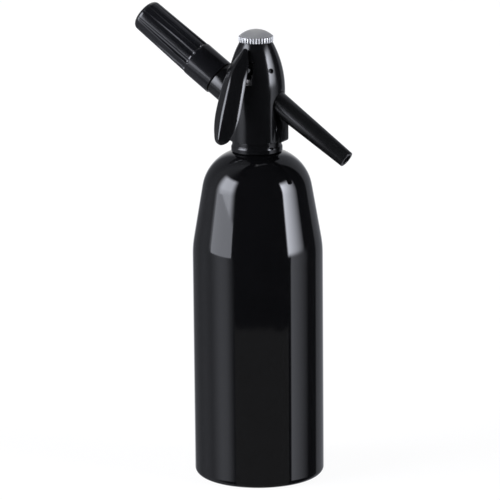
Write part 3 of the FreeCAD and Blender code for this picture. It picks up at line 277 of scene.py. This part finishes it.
def made(name, bm, body, nodes, materials, place=Matrix()):
    """Makes a piece from a mesh drawn in mm and lays it in its place in metres."""
    merged(bm)
    bmesh.ops.transform(bm, matrix=place @ Matrix.Scale(0.001, 4), verts=bm.verts)
    for face in bm.faces:
        face.smooth = True
    mesh = bpy.data.meshes.new(name)
    bm.to_mesh(mesh)
    bm.free()
    mesh.set_sharp_from_angle(angle=math.radians(32))
    for material in materials:
        mesh.materials.append(material)
    piece = bpy.data.objects.new(name, mesh)
    bpy.context.scene.collection.objects.link(piece)
    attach(piece, body)
    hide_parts(*nodes)
    return piece


def finished(shade, sockets, height, depth):
    """Ends a material in a Principled shader, with a relief of a depth in metres."""
    sockets["Normal"] = shade.node("ShaderNodeBump", None, {"Height": height, "Distance": depth})
    surface = shade.node("ShaderNodeBsdfPrincipled", None, sockets)
    shade.node("ShaderNodeOutputMaterial", None, {"Surface": surface})


def grain(shade, scale, detail=2.0):
    """Noise over a piece, of so many spots to the metre."""
    place = shade.node("ShaderNodeTexCoord", output="Object")
    return shade.node("ShaderNodeTexNoise", None, {"Vector": place, "Scale": scale, "Detail": detail})


def ring_lines(shade, scale, foot=(0, 0, 0), lean=0.0):
    """Fine rings about an axis through a point, as a lathe leaves them."""
    place = shade.node("ShaderNodeTexCoord", output="Object")
    place = shade.node("ShaderNodeMapping", {"vector_type": "TEXTURE"},
                       {"Vector": place, "Location": foot, "Rotation": (0, math.radians(lean), 0)})
    x, y, z = place.split()
    out = shade.maths("SQRT", x * x + y * y)
    rings = shade.node("ShaderNodeCombineXYZ", None, {"X": out, "Y": z, "Z": 0.0})
    return shade.node("ShaderNodeTexNoise", None, {"Vector": rings, "Scale": scale, "Detail": 3.0})


black_enamel, shade = blank("black_enamel")
coat = tint(shade, grain(shade, 60.0), (0.0030, 0.0030, 0.0034), (0.0044, 0.0044, 0.0048))
finished(shade, {"Base Color": coat, "Roughness": grain(shade, 35.0, 4.0) * 0.03 + 0.04, "IOR": 1.52},
         grain(shade, 380.0, 1.0) + grain(shade, 60.0, 1.0) * 3.0, 0.0000012)

bare_aluminium, shade = blank("bare_aluminium")
bare = tint(shade, grain(shade, 90.0), (0.62, 0.63, 0.64), (0.74, 0.75, 0.76))
finished(shade, {"Base Color": bare, "Metallic": 1.0, "Roughness": ring_lines(shade, 900.0) * 0.2 + 0.25},
         ring_lines(shade, 1600.0), 0.00001)

neck_r, thread_crest_r, pitch, thread_at, thread_turns = 13.2, 13.8, 3.0, 240.3, 2.6
foot_top, bare_from, thread_from = 9, 233.6, 238.5
bm = bmesh.new()
spun(bm, [(0, 6, -111), (36, 0), (40.3, 0, 4.7), (45, 4.7), (45, 157, 70), (43.979, 168.915),
          (37.709, 205.215, 30.8), (15.95, 229.55), (15.95, 233.55), (neck_r, 233.55), (neck_r, 249.4),
          (12.6, 250.05), (10.8, 250.05), (10.8, 229.069, -29.3), (36.231, 204.959), (42.501, 168.659, -68.5),
          (43.5, 157), (43.5, 4.7, -3.2), (40.3, 1.5), (36, 1.5, 111), (0, 7.5)], 192)
merged(bm)

# The inside and the neck are bare, and the rest is enamelled.
for face in bm.faces:
    centre = face.calc_center_median()
    inward = face.normal.xy.dot(centre.xy) < -0.1
    inner_foot = centre.z < foot_top and face.normal.z > 0.5
    face.material_index = int(inward or inner_foot or centre.z > bare_from)
threaded(bm, neck_r, thread_crest_r, pitch, thread_at, thread_turns)
for face in bm.faces:
    if face.calc_center_median().z > thread_from:
        face.material_index = 1
made("enamelled_bottle", bm, "bottle", ["bottle"], [black_enamel, bare_aluminium])


# ---- Neck ring ------------------------------------------------------------------------------------
# Polished black plastic ring that closes the bottle's shoulder below the head. It is moulded with a flared
# skirt that reaches down round the neck, and pressed on.
gloss_black, shade = blank("gloss_black_plastic")
plastic = tint(shade, grain(shade, 80.0), (0.0045, 0.0046, 0.0050), (0.0062, 0.0062, 0.0066))
finished(shade, {"Base Color": plastic, "Roughness": grain(shade, 55.0, 5.0) * 0.08 + 0.10, "IOR": 1.5},
         grain(shade, 220.0, 2.0) + grain(shade, 1500.0, 2.0) * 0.2, 0.000004)

# The close pairs of points keep the shading of the straight walls between them flat.
bm = bmesh.new()
spun(bm, [(13.85, 233.55), (16.0, 233.55), (16.0, 229.95), (17.4, 229.95, 0.3), (17.7, 230.25), (17.7, 232.5),
          (17.7, 232.7), (17.25, 233.85), (17.0, 234.1), (17.0, 234.4), (17.0, 236.9), (17.0, 237.25),
          (13.85, 237.25)], 160)
eased(bm, width=0.18, segments=3, sharper=40)
made("neck_collar", bm, "bottle", ["neck_ring"], [gloss_black])


# ---- Head casing ----------------------------------------------------------------------------------
# Cover of the head, moulded from polished black plastic in one piece with the inlet's tube, the chin under
# the spout and the lever's slot. It is pressed over the valve's body.
def redrawn(node):
    """A CAD node's mesh in mm, all in one material."""
    bm = bmesh.new()
    bm.from_mesh(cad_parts[node].data)
    bmesh.ops.scale(bm, vec=(1000, 1000, 1000), verts=bm.verts)
    for face in bm.faces:
        face.material_index = 0
    return bm


made("casing_cover", redrawn("head_casing"), "head", ["head_casing"], [gloss_black])


# ---- Lever ----------------------------------------------------------------------------------------
# Thumb lever moulded from the same polished plastic: a keeled leaf, hollow underneath, on a stalk. Its hub
# turns on a steel pin, and two fingers of its fork lift the valve's collar.

# Each row of the leaf: share of its length, shares of its half width and of its keel, and its bow in mm.
leaf_sections = [(0, 0.16, 0.18, 0), (0.05, 0.32, 0.34, 0.3), (0.11, 0.50, 0.54, 0.8),
                 (0.18, 0.67, 0.74, 1.5), (0.26, 0.81, 0.87, 2.1), (0.36, 0.90, 0.92, 2.4),
                 (0.50, 0.96, 0.945, 1.8), (0.62, 0.99, 0.985, 1.0), (0.73, 0.98, 1.01, 0.1),
                 (0.83, 0.89, 0.99, -0.8), (0.90, 0.74, 0.88, -0.9), (0.95, 0.585, 0.73, -0.7),
                 (1.0, 0.32, 0.57, -0.5)]
half_column, keel_column, bow_column = 1, 2, 3

# Places and sizes in mm, with the shares of the leaf's length where its hollow and its rounded ends lie.
leaf_top, leaf_tip = Vector((0, -14.5, 303.05)), Vector((0, -50.9, 243.2))
pivot, finger = Vector((0, -8, 287.75)), Vector((0, 0, 286.838))
leaf_half, leaf_keel, leaf_wall = 9.7, 8.3, 1.9
crest_reach, rim_radius, rim_turn = 3.8, 8.0, math.radians(69)
edge_reach, lip_reach, roof_drop = 0.4, 0.35, 1.35
hollow_from, hollow_to, hollow_fade = 0.355, 0.955, 0.02
top_round, tip_round = 0.016, 0.036
nose_steps, curl_steps, roof_steps = 6, 9, 8
top_steps, leaf_steps, tip_steps = 6, 110, 9
leaf_length = (leaf_tip - leaf_top).length
down_leaf = (leaf_tip - leaf_top).normalized()
sideways = Vector((1, 0, 0))
off_leaf = down_leaf.cross(sideways)


def between(share, column):
    """A smooth value between the leaf's sections."""
    rows = leaf_sections
    at = max(index for index in range(len(rows) - 1) if rows[index][0] <= share)
    def slope(index):
        low, high = rows[max(index - 1, 0)], rows[min(index + 1, len(rows) - 1)]
        return (high[column] - low[column]) / (high[0] - low[0])
    span = rows[at + 1][0] - rows[at][0]
    t = (share - rows[at][0]) / span
    return ((2 * t**3 - 3 * t**2 + 1) * rows[at][column] + (t**3 - 2 * t**2 + t) * span * slope(at)
            + (3 * t**2 - 2 * t**3) * rows[at + 1][column] + (t**3 - t**2) * span * slope(at + 1))


def corner(before, at, after, reach, count):
    """Points of a rounded corner."""
    start = at + (before - at).normalized() * min(reach, (before - at).length * 0.45)
    end = at + (after - at).normalized() * min(reach, (after - at).length * 0.45)
    shares = [index / (count - 1) for index in range(count)]
    return [start * (1 - t) ** 2 + at * 2 * t * (1 - t) + end * t**2 for t in shares]


def leaf_outline(share, hollow, shrink):
    """Half of the leaf's outline at a share of its length, from the crest over the flank and the curled rim
    to the middle of the hollow."""
    half = leaf_half * between(share, half_column) * shrink
    keel = leaf_keel * between(share, keel_column) * shrink
    bend = rim_radius * half / leaf_half
    rim, crest = Vector((half, 0)), Vector((0, keel))
    centre = rim - Vector((math.sin(rim_turn), math.cos(rim_turn))) * bend
    reach = crest - centre
    first = math.atan2(reach.x, reach.y) + math.acos(bend / reach.length)
    turns = [first + (rim_turn - first) * n / curl_steps for n in range(curl_steps - 1)]
    curl = [centre + Vector((math.sin(turn), math.cos(turn))) * bend for turn in turns]
    other_side = Vector((-curl[0].x, curl[0].y))
    nose = corner(other_side, crest, curl[0], crest_reach * half / leaf_half, 2 * nose_steps + 1)[nose_steps:]
    flank = [nose[-1].lerp(curl[0], t) for t in (0.04, 0.5, 0.96)]
    wall = min(leaf_wall, half * 0.45)
    lip = Vector((half - wall, 0))
    roof = Vector((0, max(keel - wall * roof_drop, 0.0) * hollow))
    inner = [lip.lerp(roof, n / roof_steps) for n in range(1, roof_steps)]
    edge = corner(curl[-1], rim, lip, edge_reach, 6)
    inside = corner(rim, lip, inner[1] if hollow else Vector((0, 0)), lip_reach, 4)
    return nose + flank + curl + edge + inside + inner[1:] + [roof]


def leaf_ring(share):
    """The whole outline of the leaf at a share of its length, in its place."""
    end = min(share / top_round, (1 - share) / tip_round)
    shrink = math.sqrt(max(0.0, 1 - (1 - end) ** 2)) if end < 1 else 1.0
    hollow = max(0.0, min(1.0, (share - hollow_from) / hollow_fade, (hollow_to - share) / hollow_fade))
    right = leaf_outline(share, hollow * hollow * (3 - 2 * hollow), shrink)
    outline = right + [Vector((-point.x, point.y)) for point in right[-2:0:-1]]
    middle = leaf_top.lerp(leaf_tip, share) + off_leaf * between(share, bow_column)
    return [middle + sideways * point.x + off_leaf * point.y for point in outline]


shares = [top_round * (1 - math.cos(math.pi / 2 * n / top_steps)) for n in range(1, top_steps + 1)]
shares += [top_round + (1 - top_round - tip_round) * n / leaf_steps for n in range(1, leaf_steps)]
shares += [1 - tip_round * (1 - math.cos(math.pi / 2 * n / tip_steps)) for n in range(tip_steps, 0, -1)]
rings = [leaf_ring(share) for share in shares]
around = len(rings[0])

# A closed tube of faces, whose points then go to their places on the rings.
bm = bmesh.new()
bmesh.ops.create_circle(bm, cap_ends=True, segments=around, radius=1)
bmesh.ops.spin(bm, geom=bm.faces[:], cent=(0, 0, 0), axis=(0, 0, 1), dvec=(0, 0, 1), angle=0,
               steps=len(rings) - 1)
for vert in bm.verts:
    point = round(math.atan2(vert.co.y, vert.co.x) / (2 * math.pi) * around) % around
    vert.co = rings[round(vert.co.z)][point]


def plate(outline, low, high):
    """A plate cut across the siphon from an outline of points, between two widths."""
    part = bmesh.new()
    face = part.faces.new([part.verts.new((low, point.y, point.z)) for point in outline])
    raised = bmesh.ops.extrude_face_region(part, geom=[face])["geom"]
    far_side = [item for item in raised if isinstance(item, bmesh.types.BMVert)]
    bmesh.ops.translate(part, vec=(high - low, 0, 0), verts=far_side)
    return part


def joined(bm, part):
    """Adds a part to a mesh and frees it."""
    mesh = bpy.data.meshes.new("part")
    part.to_mesh(mesh)
    part.free()
    bm.from_mesh(mesh)
    bpy.data.meshes.remove(mesh)


def beside(at, towards, along, aside):
    """The point so far along the way from one point to another, and so far to its side."""
    ahead = (towards - at).normalized()
    return at + ahead * along + Vector((0, -ahead.z, ahead.y)) * aside


hub_r, pin_hole_r, hub_half = 3.4, 1.78, 5.4
sunk_in_hub, stalk_half = 2.3, 2.4
finger_end_r, finger_w, finger_sides = 1.5, 2.5, (-4.8, 2.3)
root_top = leaf_top + down_leaf * 0.19 * leaf_length + off_leaf * 2.6
root_foot = leaf_top + down_leaf * 0.335 * leaf_length + off_leaf * 3.4
middle = (root_top + root_foot) / 2
stalk = plate([beside(pivot, middle, sunk_in_hub, -stalk_half), root_foot, root_top,
               beside(pivot, middle, sunk_in_hub, stalk_half)], -hub_half, hub_half)
eased(stalk, width=0.5, segments=3)
joined(bm, stalk)
hub = bmesh.new()
spun(hub, [(pin_hole_r, -hub_half), (hub_r, -hub_half), (hub_r, hub_half), (pin_hole_r, hub_half)], 64)
eased(hub, width=0.35, segments=3)
on_pin = Matrix.Translation(pivot) @ Matrix.Rotation(math.radians(90), 4, "Y")
bmesh.ops.transform(hub, matrix=on_pin, verts=hub.verts)
joined(bm, hub)
finger_end = [beside(finger, finger * 2 - pivot, finger_end_r * math.sin(t), -finger_end_r * math.cos(t))
              for t in [math.pi * n / 12 for n in range(13)]]
finger_outline = ([beside(pivot, finger, sunk_in_hub, -1.3)] + finger_end
                  + [beside(pivot, finger, sunk_in_hub, 1.0)])
for low in finger_sides:
    prong = plate(finger_outline, low, low + finger_w)
    eased(prong, width=0.25, segments=2)
    joined(bm, prong)
made("thumb_lever", bm, "lever", ["lever"], [gloss_black])


def dress(material, *nodes):
    """Gives a material to CAD nodes that are shown as they are."""
    for node in nodes:
        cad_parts[node].data.materials.clear()
        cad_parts[node].data.materials.append(material)


steel, shade = blank("drawn_steel")
drawn = tint(shade, grain(shade, 300.0), (0.50, 0.51, 0.53), (0.64, 0.65, 0.67))
finished(shade, {"Base Color": drawn, "Metallic": 1.0, "Roughness": grain(shade, 900.0, 3.0) * 0.2 + 0.2},
         grain(shade, 2500.0), 0.000004)
dress(steel, "lever_pin")


# ---- Valve ----------------------------------------------------------------------------------------
# Brass body that screws on the neck, plated with black nickel like its gland nut, with a bare brass seat.
# Black rubber closes the seat, packs the steel stem and seals the neck, and a coiled spring shuts the valve.
def turned_metal(name, low, high, least_roughness, foot=(0, 0, 0), lean=0.0):
    """A metal between two colours, with the rings of the lathe about an axis through a point."""
    material, shade = blank(name)
    roughness = ring_lines(shade, 1200.0, foot, lean) * 0.22 + least_roughness
    colour = tint(shade, grain(shade, 120.0, 4.0), low, high)
    finished(shade, {"Base Color": colour, "Metallic": 1.0, "Roughness": roughness},
             ring_lines(shade, 2600.0, foot, lean), 0.00001)
    return material


dull_brass, bright_brass = (0.60, 0.42, 0.19), (0.78, 0.58, 0.30)
black_nickel = turned_metal("black_nickel", (0.15, 0.145, 0.14), (0.22, 0.215, 0.21), 0.20)
brass = turned_metal("turned_brass", dull_brass, bright_brass, 0.16)
rubber, shade = blank("black_rubber")
dull_black = tint(shade, grain(shade, 400.0), (0.018, 0.018, 0.018), (0.032, 0.031, 0.030))
finished(shade, {"Base Color": dull_black, "Roughness": grain(shade, 250.0, 3.0) * 0.25 + 0.62},
         grain(shade, 3000.0, 3.0), 0.00002)
dress(black_nickel, "valve_body", "gland_nut")
dress(brass, "valve_seat")
dress(steel, "valve_stem", "lift_collar")
dress(rubber, "head_gasket", "valve_disc", "stem_packing")

coil = made("coiled_spring", redrawn("valve_spring"), "head", ["valve_spring"], [steel])
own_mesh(coil)


# ---- Riser and measuring tubes --------------------------------------------------------------------
# Tubes of milky plastic: the riser reaches down to the bottle's foot, and the short one in the neck sets the
# filling level. A rubber bush holds the riser.
milky_plastic, shade = blank("milky_plastic")
milky = tint(shade, grain(shade, 60.0), (0.70, 0.72, 0.70), (0.80, 0.81, 0.79))
finished(shade, {"Base Color": milky, "Roughness": grain(shade, 400.0) * 0.15 + 0.30,
                 "Transmission Weight": 0.35, "IOR": 1.5},
         ring_lines(shade, 700.0), 0.000008)
dress(milky_plastic, "riser_tube", "measuring_tube")
dress(rubber, "riser_bush")


# ---- Spout ----------------------------------------------------------------------------------------
# Tapered tube moulded from black plastic, satin outside. Its spigot is pushed into the valve's body and
# held there by a rubber ring in a groove.
spout_foot, spout_lean = (0, 0, 0.27555), 123.3
down_spout = Matrix.Translation(spout_foot) @ Matrix.Rotation(math.radians(spout_lean), 4, "Y")
spout_black, shade = blank("spout_black_plastic")
satin = tint(shade, grain(shade, 90.0), (0.0058, 0.0058, 0.0060), (0.0082, 0.0082, 0.0084))
finished(shade, {"Base Color": satin, "Roughness": grain(shade, 120.0, 4.0) * 0.08 + 0.20, "IOR": 1.5},
         grain(shade, 900.0, 3.0), 0.000006)
bore_r, spigot_r, seal_groove_r = 3.7, 5.2, 4.05
bm = bmesh.new()
spun(bm, [(bore_r, 11.5), (spigot_r, 11.5), (spigot_r, 12.7), (seal_groove_r, 12.7), (seal_groove_r, 13.9),
          (spigot_r, 13.9), (spigot_r, 16), (7.85, 16), (5.75, 83.2), (bore_r, 83.2)], 128)
eased(bm, width=0.3, segments=3)
made("tapered_spout", bm, "head", ["spout"], [spout_black], down_spout)
dress(rubber, "spout_seal")


# ---- Inlet ----------------------------------------------------------------------------------------
# Turned brass fitting screwed into the valve's body, with the thread for the charger's holder. In it lie the
# washer, the rubber non-return valve, the sieve, the piercing pin in its holder and the charger's seal.
inlet_foot, inlet_lean = (0, 0, 0.2575), -55.5
inlet_brass = turned_metal("inlet_brass", dull_brass, bright_brass, 0.16, inlet_foot, inlet_lean)
dress(inlet_brass, "inlet_fitting", "pin_holder")
dress(steel, "piercing_pin")
dress(rubber, "inlet_washer", "check_valve", "charger_seal")

sieve_steel, shade = blank("woven_steel")
place = shade.node("ShaderNodeTexCoord", output="Object")
weave = shade.node("ShaderNodeTexChecker", None, {"Vector": place, "Scale": 2500.0}, output=1)
wire = tint(shade, weave, (0.30, 0.30, 0.31), (0.62, 0.62, 0.64))
finished(shade, {"Base Color": wire, "Metallic": 1.0, "Roughness": weave * 0.2 + 0.3}, weave, 0.00003)
dress(sieve_steel, "inlet_sieve")


# ---- Gas charger ----------------------------------------------------------------------------------
# Standard 8 g carbon dioxide charger, deep-drawn from zinc-plated steel and closed by a crimped cap. It is
# used once and thrown away.
zinc, shade = blank("zinc_plated_steel")
plated = tint(shade, grain(shade, 200.0, 5.0), (0.58, 0.59, 0.61), (0.74, 0.75, 0.77))
finished(shade, {"Base Color": plated, "Metallic": 1.0, "Roughness": grain(shade, 500.0, 4.0) * 0.2 + 0.2},
         ring_lines(shade, 900.0, inlet_foot, inlet_lean), 0.00001)
dress(zinc, "co2_charger")


# ---- Charger holder -------------------------------------------------------------------------------
# Grip that screws the charger on to its piercing pin, moulded from satin black plastic over a plated
# threaded insert. Twelve flutes run from the collar to the closed end.
satin_black, shade = blank("satin_black_plastic")
satin = tint(shade, grain(shade, 110.0), (0.0075, 0.0076, 0.0088), (0.0100, 0.0101, 0.0116))
finished(shade, {"Base Color": satin, "Roughness": grain(shade, 240.0, 4.0) * 0.05 + 0.15, "IOR": 1.5},
         grain(shade, 2200.0, 3.0), 0.0000015)

collar_r, barrel_r, barrel_end_r, barrel_from, barrel_to = 12.8, 12.45, 11.55, 59.05, 102.97
flutes, flute_r, flute_from, flute_blend = 12, 2.6, 58.1, 0.09
flute_axis_r, flute_axis_lean = 13.95, 0.05 / 47


def barrel(up):
    """A point of the barrel's tapered wall."""
    return barrel_r - (barrel_r - barrel_end_r) * (up - barrel_from) / (barrel_to - barrel_from), up


def fluted(verts):
    """Presses straight round flutes into a turned surface along the upright axis, from a height upwards."""
    for vert in verts:
        out = vert.co.xy.length
        step = 2 * math.pi / flutes
        turn = (math.atan2(vert.co.y, vert.co.x) + step / 2) % step - step / 2
        centre = flute_axis_r - flute_axis_lean * (vert.co.z - flute_from)
        short = max(0.0, flute_from - vert.co.z)
        under = flute_r ** 2 - short ** 2 - (centre * math.sin(turn)) ** 2
        if under > 0:
            floor_at = centre * math.cos(turn) - math.sqrt(under)
            mix = max(0.0, min(1.0, 0.5 + 0.5 * (out - floor_at) / flute_blend))
            to = out + (floor_at - out) * mix - flute_blend * mix * (1 - mix)
            vert.co.xy *= min(out, to) / out


# The rows lie closer where the flutes start.
collar = [(collar_r, 54.7)] + [(collar_r, 54.9 + 0.2 * n) for n in range(9)]
side = [barrel(57.25 + 0.2 * n) for n in range(1, 12)] + [barrel(60 + 3.9 * n) for n in range(11)]
bm = bmesh.new()
spun(bm, [(11.75, 35.3), (12.35, 35.3, 0.45), (collar_r, 35.75)] + collar + [(12.74, 56.78), (12.66, 57.0),
          (12.55, 57.2)] + side + [(barrel_end_r, barrel_to, 3.9), (7.65, 106.87), (0, 106.87), (0, 103.3),
          (4.875, 103.3), (9.45, 97), (9.45, 47.85), (11.75, 47.85)], 360)
merged(bm)
fluted([vert for vert in bm.verts if vert.co.z > 54 and vert.co.xy.length > 9.6])
up_inlet = Matrix.Translation(inlet_foot) @ Matrix.Rotation(math.radians(inlet_lean), 4, "Y")
made("fluted_grip", bm, "holder", ["charger_holder"], [satin_black], up_inlet)
dress(black_nickel, "holder_insert")


# ---- Cap ------------------------------------------------------------------------------------------
# Chromed brass screw plug that backs the valve's spring, with a knurled rim on a rubber washer, and a domed
# insert of satin grey plastic pressed into it.
knurls, knurl_r, knurl_depth, rim_inner_r = 36, 11.95, 0.5, 11.2
crest_share, flank_share = 0.35, 0.3
chrome, shade = blank("chrome_plate")
x, y, z = shade.node("ShaderNodeTexCoord", output="Object").split()
out = shade.maths("SQRT", x * x + y * y) * 1000
# The chrome's colour holds painted light: it is dark as painted shade in the knurl's grooves and on the plug
# inside them, and pale on the crests as a painted sheen.
crest_sheen_groove_shade = out.fade(knurl_r - 0.47, knurl_r - 0.29)
plated = tint(shade, crest_sheen_groove_shade, (0.05, 0.05, 0.05), (0.95, 0.95, 0.95))
finished(shade, {"Base Color": plated, "Metallic": 0.25, "Roughness": grain(shade, 600.0, 3.0) * 0.08 + 0.20},
         grain(shade, 1500.0), 0.000003)
bm = bmesh.new()
spun(bm, [(0, 306.65), (2.1, 306.65), (2.1, 303.15), (4.6, 303.15), (4.6, 299.65), (7.9, 299.65),
          (7.9, 305.65), (11.3, 305.65), (11.55, 305.72), (11.85, 305.95), (knurl_r, 306.1), (knurl_r, 309.1),
          (11.85, 309.3), (11.6, 309.5), (11.45, 309.55), (9.05, 309.55), (9.05, 308.15), (0, 308.15)], 576)
merged(bm)
for vert in bm.verts:
    out = vert.co.xy.length
    if out > rim_inner_r:
        across = abs((math.atan2(vert.co.y, vert.co.x) / (2 * math.pi) * knurls + 0.5) % 1 - 0.5) * 2
        cut = knurl_depth * max(0.0, min(1.0, (across - crest_share) / flank_share))
        vert.co.xy *= min(out, knurl_r - cut) / out
made("knurled_ring", bm, "cap", ["cap_ring"], [chrome])
dress(rubber, "cap_washer")

satin_grey, shade = blank("satin_grey_plastic")
grey = tint(shade, grain(shade, 300.0, 4.0), (0.34, 0.335, 0.325), (0.39, 0.385, 0.375))
finished(shade, {"Base Color": grey, "Metallic": 0.3, "Roughness": grain(shade, 700.0, 3.0) * 0.1 + 0.38},
         grain(shade, 3500.0, 3.0), 0.000008)
bm = bmesh.new()
spun(bm, [(0, 308.15), (9, 308.15), (9, 309.55), (11.45, 309.55, 16.956), (0, 314.0)], 128)
eased(bm, width=0.25, segments=3)
made("domed_insert", bm, "cap", ["cap_dome"], [satin_grey])
